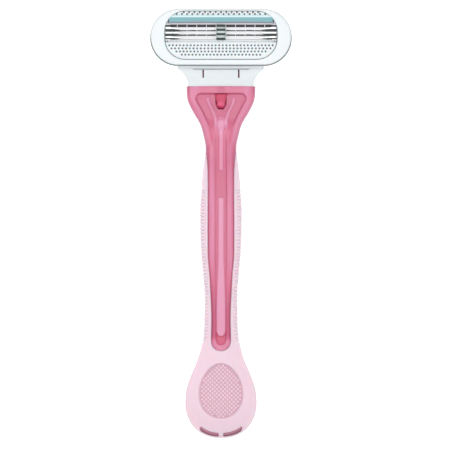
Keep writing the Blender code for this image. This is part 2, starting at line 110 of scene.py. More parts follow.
UNDER_STATIONS = [
    (-58.0, 0.0), (-48.0, 0.3), (-35.0, 1.2), (-20.0, 2.4), (-10.0, 2.8), (0.0, 2.9),
    (10.0, 2.7), (18.0, 2.4), (24.0, 2.0), (30.0, 1.2), (36.0, 0.6), (44.9, 0.5),
]
ROUND_STATIONS = [(-70.0, 2.5), (0.0, 2.4), (24.0, 2.6), (36.0, 4.0), (44.9, 4.0)]
STRIP_STATIONS = [(-37.0, 3.2), (-30.0, 3.1), (-22.0, 3.4), (-16.0, 3.75), (-10.0, 4.24),
                  (17.0, 4.24), (20.0, 4.4), (24.0, 4.75)]
STRIP_END_Y = -41.4
SKIN_FRONT_Y = 24.5         # front edge of the soft skin, at the narrowest place
RIB_Y = (-38.2, 11.1)       # ribbed stretch of both edges
RIB_PITCH = 1.095
THUMB = (-54.4, 7.2, 9.0)   # thumb oval: middle y, half width, half length
WINDOW_X = (0.65, 6.8)      # tail windows
WINDOW_SCALE = (0.845, 0.947)   # their inner and outer edges, as shares of the tail's outline
WINDOW_DEPTH = 1.1
PAD_SINK = 0.34             # how far the thumb oval's floor lies below the skin


# ---- curves and profiles -----------------------------------------------------
def through(stations, y):
    """Smooth value at y through the (y, value) stations, flat beyond both ends."""
    if y <= stations[0][0]:
        return stations[0][1]
    if y >= stations[-1][0]:
        return stations[-1][1]
    i = max(k for k in range(len(stations) - 1) if stations[k][0] <= y)

    def slope(k):
        lo, hi = stations[max(k - 1, 0)], stations[min(k + 1, len(stations) - 1)]
        return (hi[1] - lo[1]) / (hi[0] - lo[0])

    (y0, v0), (y1, v1) = stations[i], stations[i + 1]
    h = y1 - y0
    t = (y - y0) / h
    return (v0 * (1 + 2 * t) * (1 - t) ** 2 + v1 * t * t * (3 - 2 * t)
            + h * slope(i) * t * (1 - t) ** 2 - h * slope(i + 1) * t * t * (1 - t))


def soft_step(value, width=1.0):
    """0 below zero, 1 above `width`, and smooth between."""
    t = min(max(value / width, 0.0), 1.0)
    return t * t * (3 - 2 * t)


def hump(distance, width):
    """Bell of height 1 round distance 0."""
    return math.exp(-(distance / width) ** 2)


def steps(start, end, count):
    return [start + (end - start) * k / count for k in range(count + 1)]


def turn(count):
    """Angles of one full turn."""
    return [2 * math.pi * k / count for k in range(count)]


def tail_shrink(y):
    t = min(max((BULB_Y - y) / (BULB_Y - TAIL_Y), 0.0), 1.0)
    return (1 - t ** BULB_ROUND) ** (1 / BULB_ROUND)


def tail_scale(x, y):
    """How far (x, y) lies out on the round end: 0 at its middle, 1 on the outline."""
    across = abs(x) / through(WIDTH_STATIONS, BULB_Y)
    along = max(BULB_Y - y, 0.0) / (BULB_Y - TAIL_Y)
    return (across ** BULB_ROUND + along ** BULB_ROUND) ** (1 / BULB_ROUND)


def half_width(y):
    return through(WIDTH_STATIONS, y) * tail_shrink(y)


def section(y):
    """(half width, middle z, half height, power) of the handle at y."""
    top, under = through(TOP_STATIONS, y), through(UNDER_STATIONS, y)
    return half_width(y), (top + under) / 2, (top - under) / 2 * tail_shrink(y), through(ROUND_STATIONS, y)


def surface_z(x, y, side=1):
    """Height of the handle's upper (side 1) or under (side -1) surface at (x, y)."""
    half, middle, height, power = section(y)
    across = min(abs(x) / half, 1.0)
    return middle + side * height * (1 - across ** power) ** (1 / power)


def strip_half(y):
    """Half width of the core's strip, with its round tail end."""
    reach = through(STRIP_STATIONS, STRIP_END_Y)
    t = max(0.0, 1 - (y - STRIP_END_Y) / reach)
    return through(STRIP_STATIONS, y) * math.sqrt(max(0.0, 1 - t * t))


def egg(x, y):
    """0 in the middle of the thumb oval, 1 on its edge; its blunt end is at the tail."""
    middle, half, length = THUMB
    t = (y - middle) / length
    return math.hypot(x / (half * (1 - 0.13 * t)), t)


# ---- mesh helpers ------------------------------------------------------------
def surface(rows, around=False):
    """Grid bent over rows of points; `around` joins each row's end to its start."""
    if around:
        rows = [row + row[:1] for row in rows]
    bm = bmesh.new()
    made = bmesh.ops.create_grid(bm, x_segments=len(rows[0]) - 1, y_segments=len(rows) - 1, size=1.0)
    for vert, point in zip(made["verts"], (p for row in rows for p in row)):
        vert.co = point
    bmesh.ops.remove_doubles(bm, verts=bm.verts, dist=1e-4)
    return bm


def solid(rows):
    """Closed skin over closed rows, with both ends filled."""
    bm = surface(rows, around=True)
    bmesh.ops.holes_fill(bm, edges=[e for e in bm.edges if e.is_boundary], sides=0)
    bmesh.ops.recalc_face_normals(bm, faces=bm.faces)
    return bm


def slab(outline, low, high, bevel=0.1, segments=2):
    """Outline of (x, y) points extruded from low to high, with its sharp edges rounded."""
    bm = bmesh.new()
    bmesh.ops.create_circle(bm, cap_ends=True, segments=len(outline), radius=1.0)
    for vert, (x, y) in zip(bm.verts, outline):
        vert.co = (x, y, low)
    grown = bmesh.ops.extrude_face_region(bm, geom=bm.faces[:])
    moved = [v for v in grown["geom"] if isinstance(v, bmesh.types.BMVert)]
    bmesh.ops.translate(bm, vec=(0, 0, high - low), verts=moved)
    bmesh.ops.recalc_face_normals(bm, faces=bm.faces)
    return rounded(bm, bevel, segments)


def rounded(bm, width, segments=2, angle=35.0):
    """Bevel every edge that turns more than `angle` degrees."""
    if width:
        limit = math.radians(angle)
        sharp = [e for e in bm.edges if len(e.link_faces) == 2 and e.calc_face_angle(0.0) > limit]
        bmesh.ops.bevel(bm, geom=sharp, offset=width, offset_type="OFFSET", segments=segments, profile=0.5,
                        affect="EDGES", clamp_overlap=True, material=-1)
    return bm


def block(x, y, z, bevel=0.1, segments=2):
    return slab([(x[0], y[0]), (x[1], y[0]), (x[1], y[1]), (x[0], y[1])], z[0], z[1], bevel, segments)


def add(bm, *others):
    """Put the other meshes' shells into bm."""
    for other in others:
        spare = bpy.data.meshes.new("spare")
        other.to_mesh(spare)
        other.free()
        bm.from_mesh(spare)
        bpy.data.meshes.remove(spare)
    return bm


def dome(bm, centre, radius, height, ring=8):
    """Small round bump sitting on `centre`."""
    made = bmesh.ops.create_uvsphere(bm, u_segments=ring, v_segments=6, radius=1.0)
    for v in made["verts"]:
        v.co = Vector((v.co.x * radius, v.co.y * radius, v.co.z * height)) + Vector(centre)


def refined(node, width):
    """Copy of a CAD node with its loose triangles joined and its edges rounded."""
    bm = bmesh.new()
    bm.from_mesh(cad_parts[node].data)
    bmesh.ops.scale(bm, vec=(1 / MM,) * 3, verts=bm.verts)
    bmesh.ops.remove_doubles(bm, verts=bm.verts, dist=1e-4)
    bmesh.ops.dissolve_limit(bm, angle_limit=math.radians(1.0), verts=bm.verts, edges=bm.edges)
    return rounded(bm, width)


def piece(name, bm, material, body, node=None, sharp=35.0, tint=None):
    """Turn a mesh in millimetres into a finished piece that rides on its body.

    `tint` works out the named vertex values that a material reads from a place.
    """
    if tint:
        names = list(tint(Vector((0.0, 0.0, 0.0))))
        layers = {key: bm.verts.layers.float.new(key) for key in names}
        for v in bm.verts:
            for key, value in tint(v.co).items():
                v[layers[key]] = value
    bmesh.ops.scale(bm, vec=(MM, MM, MM), verts=bm.verts)
    mesh = bpy.data.meshes.new(name)
    bm.to_mesh(mesh)
    bm.free()
    mesh.shade_smooth()
    mesh.set_sharp_from_angle(angle=math.radians(sharp))
    obj = bpy.data.objects.new(name, mesh)
    bpy.context.scene.collection.objects.link(obj)
    mesh.materials.append(material)
    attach(obj, body)
    if node:
        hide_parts(node)
    return obj


def cad_piece(name, node, width, material, body, **looks):
    """Finished piece made from its CAD node, with edges rounded by width."""
    return piece(name, refined(node, width), material, body, node, **looks)


# ---- material helpers --------------------------------------------------------
def put(tree, kind, inputs=None, **settings):
    """Add a node, set its properties, then link or set its inputs."""
    made = tree.nodes.new(kind)
    for key, value in settings.items():
        setattr(made, key, value)
    for key, value in (inputs or {}).items():
        if isinstance(value, bpy.types.NodeSocket):
            tree.links.new(value, made.inputs[key])
        else:
            made.inputs[key].default_value = value
    return made


def mixed(tree, factor, a, b):
    """Colour between a and b by factor."""
    return put(tree, "ShaderNodeMix", {0: factor, 6: a, 7: b}, data_type="RGBA").outputs[2]


def maths(tree, operation, *values):
    """Result of a Math node."""
    return put(tree, "ShaderNodeMath", dict(enumerate(values)), operation=operation).outputs[0]


def varied(group, middle, fraction, spread):
    """`middle` moved up and down by `spread` as `fraction` goes from 0 to 1."""
    swing = maths(group, "MULTIPLY", maths(group, "SUBTRACT", fraction, 0.5), spread)
    return maths(group, "ADD", middle, swing)


def new_group(name, inputs, outputs):
    """Empty shader group with number inputs {name: default} and number outputs."""
    group = bpy.data.node_groups.new(name, "ShaderNodeTree")
    for key, value in inputs.items():
        group.interface.new_socket(key, in_out="INPUT", socket_type="NodeSocketFloat").default_value = value
    for key in outputs:
        group.interface.new_socket(key, in_out="OUTPUT", socket_type="NodeSocketFloat")
    return group, group.nodes.new("NodeGroupInput"), group.nodes.new("NodeGroupOutput")


def moulded_grain():
    """Fine skin of a moulded part: uneven gloss, a trace of flow, and tiny pits."""
    group, given, result = new_group("moulded grain", {"Scale": 900.0, "Roughness": 0.35, "Spread": 0.08},
                                     ("Roughness", "Height", "Flow"))
    place = put(group, "ShaderNodeTexCoord").outputs["Object"]
    fine = put(group, "ShaderNodeTexNoise",
               {"Vector": place, "Scale": given.outputs["Scale"], "Detail": 3.0}).outputs["Fac"]
    slow = maths(group, "MULTIPLY", given.outputs["Scale"], 0.12)
    flow = put(group, "ShaderNodeTexNoise",
               {"Vector": place, "Scale": slow, "Detail": 2.0, "Distortion": 0.4}).outputs["Fac"]
    gloss = varied(group, given.outputs["Roughness"], flow, given.outputs["Spread"])
    for value, socket in zip((gloss, fine, flow), result.inputs):
        group.links.new(value, socket)
    return group


def brushed_lines():
    """Rolling or grinding lines along x, for sheet steel."""
    group, given, result = new_group("brushed lines", {"Scale": 260.0, "Roughness": 0.25, "Spread": 0.2},
                                     ("Roughness", "Height", "Shade"))
    place = put(group, "ShaderNodeTexCoord").outputs["Object"]
    drawn = put(group, "ShaderNodeMapping", {"Vector": place, "Scale": (0.02, 1.0, 1.0)}).outputs[0]
    dense = maths(group, "MULTIPLY", given.outputs["Scale"], 30.0)
    lines = put(group, "ShaderNodeTexNoise", {"Vector": drawn, "Scale": dense, "Detail": 2.0}).outputs["Fac"]
    gloss = varied(group, given.outputs["Roughness"], lines, given.outputs["Spread"])
    for value, socket in zip((gloss, lines, lines), result.inputs):
        group.links.new(value, socket)
    return group


def effect(name):
    """The shared node group of that name, built once."""
    builders = {"moulded grain": moulded_grain, "brushed lines": brushed_lines}
    return bpy.data.node_groups.get(name) or builders[name]()


PIT_DEPTH = 0.00002     # metres, of the grain's pits and lines


def finish(name, colour, grain="moulded grain", scale=900.0, roughness=0.35, spread=0.08, bump=0.02,
           shift=0.03, **sockets):
    """Material with a shared grain; `colour` is an rgb or a function of the tree.

    Keyword sockets, such as coat_weight, are plain numbers on the shader.
    """
    material = bpy.data.materials.new(name)
    material.use_nodes = True
    tree = material.node_tree
    shader = tree.nodes["Principled BSDF"]
    group = put(tree, "ShaderNodeGroup", node_tree=effect(grain))
    for key, value in (("Scale", scale), ("Roughness", roughness), ("Spread", spread)):
        group.inputs[key].default_value = value
    tree.links.new(group.outputs["Roughness"], shader.inputs["Roughness"])
    height = put(tree, "ShaderNodeBump",
                 {"Height": group.outputs["Height"], "Strength": bump, "Distance": PIT_DEPTH})
    tree.links.new(height.outputs[0], shader.inputs["Normal"])
    base = colour(tree) if callable(colour) else rgba(colour)
    shade = maths(tree, "ADD", maths(tree, "MULTIPLY", group.outputs[2], shift * 2), 1.0 - shift)
    shaded = put(tree, "ShaderNodeHueSaturation", {"Color": base, "Value": shade})
    tree.links.new(shaded.outputs[0], shader.inputs["Base Color"])
    for key, value in sockets.items():
        shader.inputs[key.replace("_", " ").title().replace("Ior", "IOR")].default_value = value
    return material


def steep_side_shade(tree, colour, edge, strength):
    """Colour that turns towards `edge` on a piece's steep sides: partly the plastic looking thicker there,
    partly painted shade.
    """
    normal = put(tree, "ShaderNodeTexCoord").outputs["Normal"]
    tilt = put(tree, "ShaderNodeSeparateXYZ", {"Vector": normal}).outputs["Z"]
    level = maths(tree, "POWER", maths(tree, "ABSOLUTE", tilt), 0.5)
    steep = maths(tree, "POWER", maths(tree, "SUBTRACT", 1.0, level), 2.0)
    return mixed(tree, maths(tree, "MULTIPLY", steep, strength), colour, rgba(edge))


def value_of(tree, name):
    """A vertex value stored on the piece."""
    return put(tree, "ShaderNodeAttribute", attribute_name=name).outputs["Fac"]


def blended(name, plain, other):
    return lambda tree: mixed(tree, value_of(tree, name), rgba(plain), rgba(other))


def colours():
    return bpy.context.scene.razor.colours


def rgba(rgb):
    return (*rgb, 1.0)


# ---- settings ------------------------------------------------------------------
def colour_property(name, description, default):
    return bpy.props.FloatVectorProperty(name=name, description=description, default=default,
                                         subtype="COLOR", min=0.0, max=1.0)


class RazorColours(bpy.types.PropertyGroup):
    """Colours of the razor's materials."""
    core: colour_property("Core", "Translucent hard plastic of the handle", (0.72, 0.17, 0.29))
    # core_deep_and_shade colours thick plastic and the painted shade of grooves, recess and slot, and is also
    # the docking insert's own colour; core_light is the painted highlight
    core_deep_and_shade: colour_property("Core, deep", "Hard plastic where it is thick", (0.50, 0.075, 0.165))
    core_light: colour_property("Core, light", "Hard plastic where light gathers", (0.80, 0.335, 0.50))
    tongue: colour_property("Tongue", "Release button", (0.84, 0.08, 0.26))
    skin: colour_property("Skin", "Soft overmould", (0.91, 0.68, 0.765))
    skin_edge: colour_property("Skin, thin", "Thin, ribbed edges of the overmould", (0.91, 0.75, 0.82))
    thumb: colour_property("Thumb pad", "Floor of the thumb oval", (0.72, 0.42, 0.51))
    white: colour_property("White", "Housing, spacers and plunger", (0.86, 0.89, 0.90))
    lip: colour_property("Soft white", "Surround and pads", (0.88, 0.92, 0.93))
    dots: colour_property("Dots", "Dots on the pads", (0.17, 0.185, 0.195))
    strip: colour_property("Strip", "Lubricating strip", (0.19, 0.44, 0.47))
    dark_steel: colour_property("Dark steel", "Supports under the blades", (0.16, 0.18, 0.19))
    steel: colour_property("Steel", "Blades, end clips and springs", (0.97, 0.98, 0.98))


class RazorSizes(bpy.types.PropertyGroup):
    """Sizes that a user may want to change."""
    rib_depth: bpy.props.FloatProperty(
        name="Rib depth", description="Depth of the grooves between the grip's ribs", default=0.00032,
        unit="LENGTH", subtype="DISTANCE")
    dot_radius: bpy.props.FloatProperty(
        name="Dot radius", description="Radius of the dots on the pads", default=0.00036,
        unit="LENGTH", subtype="DISTANCE")
    studio_light: bpy.props.FloatProperty(
        name="Studio light", description="Power of the large lamp over the razor, in watts", default=1.0)


class RazorSettings(bpy.types.PropertyGroup):
    """Everything that can be set for the razor."""
    colours: bpy.props.PointerProperty(type=RazorColours)
    sizes: bpy.props.PointerProperty(type=RazorSizes)


# ---- handle core ---------------------------------------------------------------
SHIELD_TOP_Y = 42.7         # front edge of the shield-shaped recess
SHIELD_STATIONS = [(29.0, 3.6), (33.0, 4.6), (37.0, 6.5), (40.6, 8.4), (42.7, 8.4)]
SHIELD_CORNER = 1.8
GROOVE_END_Y = -35.2        # centre of the groove's round tail end
CUP_Y = -37.8               # centre of the cup behind it
CUP_RADIUS = 1.75
SLOT_STATIONS = [(37.55, 0.8), (38.35, 1.4), (42.4, 1.97)]
SLOT_FLOOR_Z = 7.25         # between the button's tongue and the docking socket
SOCKET_HALF = 7.35          # socket in the front face for the docking insert
SOCKET_Z = (1.65, 6.95)
SOCKET_END_Y = 36.6
ARC_YS = (35.9, 34.9, 33.9)     # three fine arcs below the slot
STRIP_SINK = 0.22           # how far the strip lies below the skin
STRIP_DEPTH = 1.6


def shield_depth(x, y):
    """Distance inside the shield-shaped recess, negative outside it."""
    below = SHIELD_TOP_Y - y
    beside = through(SHIELD_STATIONS, y) - abs(x)
    if below < SHIELD_CORNER and beside < SHIELD_CORNER:
        return SHIELD_CORNER - math.hypot(SHIELD_CORNER - beside, SHIELD_CORNER - below)
    return min(below, beside)


def channel_half(y):
    """Half width of the centre groove: narrow at the front, wide at the tail and in the recess."""
    front = soft_step(y - 12.0, 4.0)
    return 0.9 - 0.2 * front + 0.5 * soft_step(-8.0 - y, 20.0) + 1.3 * soft_step(y - 30.0, 3.5)


def channel_open(y):
    """1 where the centre groove is open: from its U-shaped end, but for one bridge."""
    return max(soft_step(8.9 - y, 0.5), soft_step(y - 17.0, 0.8)) * soft_step(34.5 - y, 3.0)


def channel_mask(x, y):
    """1 inside the centre groove, whose tail end is round."""
    reach = math.hypot(x, min(y - GROOVE_END_Y, 0.0))
    return channel_open(y) * soft_step(channel_half(y) + 0.15 - reach, 0.35)


def end_cup(x, y):
    """1 inside the cup behind the groove's tail end."""
    reach = math.hypot(x, min(y - CUP_Y, 0.0))
    return soft_step(CUP_RADIUS - reach, 0.3) * soft_step(-35.0 - y, 0.3) * (1 - channel_mask(x, y))


def slot_mask(x, y):
    """1 inside the slot round the release button."""
    half = through(SLOT_STATIONS, y)
    along = soft_step(y - 37.3, 0.5) * soft_step(SHIELD_TOP_Y - 0.05 - y, 0.15)
    return soft_step(half - abs(x), 0.12) * along


def ridge_x(y):
    """Distance of the two ridges from the middle: they part inside the recess."""
    return 1.7 + 2.6 * soft_step(y - 33.5, 8.0)


def core_relief(x, y):
    """Height added to the core's top: recess, centre groove, side grooves and ridges."""
    ax = abs(x)
    relief = -0.28 * channel_mask(x, y) - 0.55 * end_cup(x, y)
    relief -= 0.14 * hump(ax - 1.95, 0.16) * soft_step(29.0 - y, 3.0) * soft_step(y + 30.0, 8.0)
    relief -= 0.75 * soft_step(shield_depth(x, y), 0.5) * soft_step(y - 30.0, 5.0)
    relief += 0.38 * hump(ax - ridge_x(y), 0.45) * soft_step(y - 31.0, 3.0) * soft_step(41.9 - y, 1.2)
    for arc_y in ARC_YS:
        reach = math.hypot(x, y - arc_y - 1.9)
        relief += 0.13 * hump(reach - 2.0, 0.2) * soft_step(arc_y + 1.2 - y, 0.6)
    return relief * (1 - slot_mask(x, y))


def core_half(y):
    """Half width of the core that shows: the strip, then the whole neck."""
    neck = soft_step(y - 22.0, 6.0)
    return strip_half(y) * (1 - neck) + half_width(y) * neck if y > STRIP_END_Y else 1.0


def core_edge(x, y):
    return hump(core_half(y) - abs(x), 0.55 + 0.25 * soft_step(y - 22.0, 6.0))


def lower_neck(x, y):
    return hump(y - 22.0, 8.0) * soft_step(abs(x) - 1.6, 0.8)


def core_deep_and_shade(x, y):
    """How dark the plastic looks from above: thicker at its edges, with painted shade in the grooves, recess,
    slot, cup and along the front corners.
    """
    ax = abs(x)
    shield = shield_depth(x, y)
    panel = 0.38 * soft_step(2.0 - ax, 0.3) * soft_step(31.0 - y, 3.0)
    tail_band = 0.5 * soft_step(-16.0 - y, 12.0) * soft_step(ax - 1.2, 0.4) * soft_step(y + 37.5, 1.0)
    side_grooves = 0.45 * hump(ax - 1.85, 0.3) * soft_step(30.0 - y, 4.0) * soft_step(y + 20.0, 8.0)
    recess = soft_step(y - 28.0, 7.0) * (0.35 * soft_step(shield, 0.4) + 0.55 * hump(shield - 0.1, 0.32))
    round_slot = 0.5 * hump(x, 2.6) * soft_step(y - 36.5, 1.5) * soft_step(42.5 - y, 0.3)
    deep = 0.75 * core_edge(x, y) + panel + tail_band + side_grooves + recess
    deep += 0.8 * slot_mask(x, y) + round_slot
    deep = deep * (1 - channel_mask(x, y)) + end_cup(x, y)
    front_band = 0.4 + soft_step(1.7 - ax, 0.6) + 1.3 * soft_step(ax - 9.9, 0.8)
    deep += 0.3 * soft_step(y - 42.6, 0.3) * front_band
    return deep + 0.6 * hump(core_half(y) - ax, 0.6) * hump(y - 23.0, 6.0) + 0.3 * lower_neck(x, y)


def core_lit(x, y):
    """Painted highlight where the plastic seems to gather light from above: groove, ridges, shoulders and
    tail end.
    """
    ax = abs(x)
    half = core_half(y)
    cup = end_cup(x, y)
    lit = (0.75 - 0.2 * soft_step(y - 12.0, 4.0)) * channel_mask(x, y) * (1 - cup)
    lit += 0.6 * hump(ax - 2.9, 0.75) * soft_step(28.0 - y, 4.0) * soft_step(y + 22.0, 14.0)
    shoulder = hump(ax - 0.78 * half, 0.10 * half + 0.3) * soft_step(y - 24.0, 4.0)
    lit += 0.55 * shoulder * (1 - soft_step(shield_depth(x, y), 0.4))
    lit += 0.85 * hump(ax - ridge_x(y), 0.5) * soft_step(y - 30.0, 3.0) * soft_step(42.0 - y, 1.0)
    lit += 0.6 * hump(x, 1.0) * soft_step(y - 27.0, 4.0) * soft_step(35.5 - y, 2.0)
    lit += 0.45 * soft_step(-37.5 - y, 0.8) * (1 - cup)
    lit += 0.1 * soft_step(y - 42.8, 0.2) * soft_step(9.3 - ax, 1.0) * (1 - soft_step(1.2 - ax, 0.3))
    return lit * (1 - 0.4 * lower_neck(x, y))


def core_tint(place):
    """Vertex values of the core: how deep it looks with its painted shade, how much painted highlight it
    takes, and how red it looks.
    """
    x, y, z = place
    if z < section(y)[1]:       # plain underside
        # the underside gets painted shade at its edges and a soft painted highlight
        half = core_half(y)
        deep, lit, red = 0.5 * core_edge(x, y), 0.25 * hump(abs(x) - 0.5 * half, 0.3 * half), 0.0
    else:
        deep, lit, red = core_deep_and_shade(x, y), core_lit(x, y), max(slot_mask(x, y), 0.35 * end_cup(x, y))
    return {"deep": min(max(deep, 0.0), 1.0), "lit": min(max(lit, 0.0), 1.0), "slot": red}


def core_stations():
    """Places along y of the core's rows, close together where the relief is fine."""
    round_end = 3.2
    ys = [STRIP_END_Y + round_end * (1 - math.cos(math.radians(a))) + 0.12 for a in (4, 18, 32, 46, 60)]
    for low, high, count in ((-39.6, -34.9, 30), (-34.4, 7.5, 36), (8.2, 9.2, 6), (9.8, 16.5, 6),
                             (16.9, 18.3, 6), (19.5, 30.0, 16), (30.3, FRONT_Y - 0.25, 66)):
        ys += steps(low, high, count)
    return ys


def core_rows():
    """Closed rows round the core, from the strip's tail end to the socket's end wall."""
    rows = []
    count = 110
    across = [math.sin(math.radians(a)) for a in steps(-90.0, 90.0, count)]
    front_edge = [(FRONT_Y - 0.05, 0.03), (FRONT_Y, 0.12)]
    for y, pull in [(y, 0.0) for y in core_stations()] + front_edge:
        neck = soft_step(y - 21.0, 3.6)
        half = (strip_half(y) - 0.1) * (1 - neck) + half_width(y) * neck - pull
        top, bottom = [], []
        for t in across:
            x = half * t
            outer_x = x * (half + pull) / half
            crown = surface_z(outer_x, y) - STRIP_SINK * (1 - neck) - pull
            rounding = 0.25 * (1 - neck) * soft_step(abs(t) - 0.9, 0.1)
            height = crown + core_relief(x, y) * soft_step(1.02 - abs(t), 0.1) - rounding
            slot = slot_mask(x, y)
            top.append((x, y, height * (1 - slot) + SLOT_FLOOR_Z * slot))
            hidden = surface_z(x, y) - STRIP_DEPTH
            low = surface_z(outer_x, y, -1) + pull
            bottom.append((x, y, hidden * (1 - neck) + low * neck))
        rows.append(top + bottom[::-1])
    for y in (FRONT_Y, SOCKET_END_Y):
        ceiling = [(SOCKET_HALF * t, y, SOCKET_Z[1]) for t in steps(-1.0, 1.0, count)]
        rows.append(ceiling + [(x, y, SOCKET_Z[0]) for x, y, z in reversed(ceiling)])
    return rows


def core_material():
    def colour(tree):
        c = colours()
        # deep mixes in the thick-edge colour and the painted shade; lit mixes in the painted highlight
        deep = mixed(tree, value_of(tree, "deep"), rgba(c.core), rgba(c.core_deep_and_shade))
        lit = mixed(tree, value_of(tree, "lit"), deep, rgba(c.core_light))
        slot = mixed(tree, value_of(tree, "slot"), lit, (0.90, 0.10, 0.22, 1.0))
        # painted shade on the core's steep sides
        return steep_side_shade(tree, slot, (0.50, 0.20, 0.31), 0.8)
    return finish("rose plastic", colour, scale=500.0, roughness=0.3, bump=0.01, shift=0.05, coat_weight=0.25,
                  coat_roughness=0.25, subsurface_weight=0.2, subsurface_scale=0.002)


class RAZOR_OT_core(bpy.types.Operator):
    """Hard translucent core: the neck and the strip along the grip"""
    bl_idname = "razor.core"
    bl_label = "Handle core"

    def execute(self, context):
        piece("core_body", solid(core_rows()), core_material(), "handle", "handle_core", sharp=60.0,
              tint=core_tint)
        deep = finish("deep rose plastic", colours().core_deep_and_shade, scale=700.0, roughness=0.3)
        cad_piece("nose_insert", "docking_nose", 0.12, deep, "handle")
        return {"FINISHED"}


# ---- soft skin -----------------------------------------------------------------
def rib_height(y):
    """1 on a rib's crest and 0 in the groove between two ribs."""
    if not RIB_Y[0] < y < RIB_Y[1]:
        return 1.0
    phase = ((RIB_Y[1] - y) / RIB_PITCH) % 1.0
    return soft_step(0.36 - abs(phase - 0.5), 0.2)


def skin_stations():
    """Places along y of the skin's rows: seven to a rib, and close together round the thumb oval."""
    reach = SKIN_FRONT_Y - RIB_Y[1]
    ys = [SKIN_FRONT_Y - reach * k / 16 for k in range(16)]
    for k in range(round((RIB_Y[1] - RIB_Y[0]) / RIB_PITCH)):
        ys += [RIB_Y[1] - RIB_PITCH * (k + phase) for phase in (0.0, 0.14, 0.24, 0.36, 0.64, 0.76, 0.86)]
    round_end = 3.2
    angles = (0, 12, 24, 36, 48, 60, 72, 82, 90)
    ys += [STRIP_END_Y + round_end * (1 - math.sin(math.radians(a))) for a in angles]
    ys += [STRIP_END_Y - 0.05] + steps(STRIP_END_Y - 0.5, -44.8, 6)
    ys += steps(-45.1, -63.9, 84) + steps(-64.1, TAIL_Y + 0.45, 48)
    return ys + [TAIL_Y + r for r in (0.3, 0.18, 0.08, 0.02)]


def window_depth(x, y):
    """How deep the tail windows are cut at (x, y)."""
    if y > BULB_Y:
        return 0.0
    r = tail_scale(x, y)
    reach = (BULB_Y - TAIL_Y) * 0.95
    side = min((r - WINDOW_SCALE[0]) * reach, (WINDOW_SCALE[1] - r) * reach)
    end = min(abs(x) - WINDOW_X[0], WINDOW_X[1] - abs(x))
    inside = min(side, end)
    corner = 0.45
    if side < corner and end < corner:
        inside = corner - math.hypot(corner - side, corner - end)
    return WINDOW_DEPTH * soft_step(inside + 0.12, 0.24)


def skin_rows():
    """Rows round the skin; where the core's strip shows, each row dips into a channel for it."""
    depth = bpy.context.scene.razor.sizes.rib_depth / MM
    rows = []
    for y in skin_stations():
        half, middle, height, power = section(y)
        opened = 1.0 if y >= STRIP_END_Y - 0.001 else 0.0
        lip = 0.35 * opened
        edge = min(strip_half(y) * opened + lip, 0.97 * half)
        start = math.acos(min((edge / half) ** (power / 2), 1.0))
        groove = (1 - rib_height(y)) * depth
        proud = 0.12 * soft_step(SKIN_FRONT_Y - y, 1.5)
        row = []
        for a in steps(start, -math.pi - start, 128):
            c, s = math.cos(a), math.sin(a)
            side = soft_step(c ** 2 - 0.42, 0.14)
            pull = 1 + (proud * (1 - side) - groove * side) / half
            x = half * pull * math.copysign(abs(c) ** (2 / power), c)
            z = middle + height * pull * math.copysign(abs(s) ** (2 / power), s)
            if s > 0:
                z -= 0.5 * soft_step(1.02 - egg(x, y), 0.06) + window_depth(x, y)
            row.append((x, y, z))
        z = row[-1][2]
        slot = max(edge - lip, 0.0)
        drops = [(slot + 0.12 * opened, 0.06), (slot, 0.25), (slot, 0.9)]
        row += [(-x, y, z - d * opened) for x, d in drops]
        row += [(0.0, y, z - 0.7 * opened)]
        row += [(x, y, z - d * opened) for x, d in reversed(drops)]
        rows.append(row)
    return rows


def skin_tint(place):
    """Vertex values of the skin: thin at its ribbed edges, painted shade between the ribs and along the
    tail's rim, and darker in the oval.
    """
    x, y, z = place
    half, middle, height, power = section(y)
    across = abs(x) / max(half, 0.01)
    ribs = soft_step(across - 0.74, 0.12) * soft_step(y + 39.5, 2.0) * soft_step(14.0 - y, 4.0)
    groove = (1 - rib_height(y)) * soft_step(across - 0.78, 0.08)
    rim = soft_step(across - 0.93, 0.06) * soft_step(-42.0 - y, 6.0)
    oval = soft_step(1.04 - egg(x, y), 0.08) if z > middle else 0.0
    return {"thin": ribs, "groove": 0.55 * groove + 0.3 * rim, "oval": oval}


def skin_material():
    def colour(tree):
        c = colours()
        thin = mixed(tree, value_of(tree, "thin"), rgba(c.skin), rgba(c.skin_edge))
        # groove paints the shade between the ribs and on the tail's rim
        lines = mixed(tree, value_of(tree, "groove"), thin, (0.64, 0.42, 0.50, 1.0))
        floor = mixed(tree, value_of(tree, "oval"), lines, rgba(c.thumb))
        # painted shade on the skin's steep sides
        return steep_side_shade(tree, floor, (0.58, 0.42, 0.48), 0.6)
    return finish("soft pink skin", colour, scale=1400.0, roughness=0.42, spread=0.1, bump=0.05, shift=0.02,
                  subsurface_weight=0.35, subsurface_scale=0.003, sheen_weight=0.15, sheen_roughness=0.5)


def thumb_pad():
    """Egg-shaped floor of the thumb oval."""
    rings, spokes = 10, 64
    middle, half, length = THUMB
    rows = []
    for k in range(rings + 1):
        row = []
        scale = max(0.985 * k / rings, 0.01)
        for a in turn(spokes):
            t = scale * math.sin(a)
            x, y = half * scale * math.cos(a) * (1 - 0.13 * math.sin(a)), middle + length * t
            row.append((x, y, surface_z(x, y) - PAD_SINK - (0.12 if k == rings else 0.0)))
        rows.append(row)
    return solid(rows)


def thumb_bumps():
    """Staggered bumps on the floor of the thumb oval."""
    middle, half, length = THUMB
    bm = bmesh.new()
    pitch_x, pitch_y = 1.38, 0.69
    rows = int(2 * length / pitch_y)
    for r in range(rows + 1):
        y = middle - length + pitch_y * r
        offset = pitch_x / 2 if r % 2 else 0.0
        for c in range(-6, 7):
            x = c * pitch_x + offset
            if egg(x, y) < 0.93:
                dome(bm, (x, y, surface_z(x, y) - PAD_SINK - 0.02), 0.36, 0.26)
    return bm


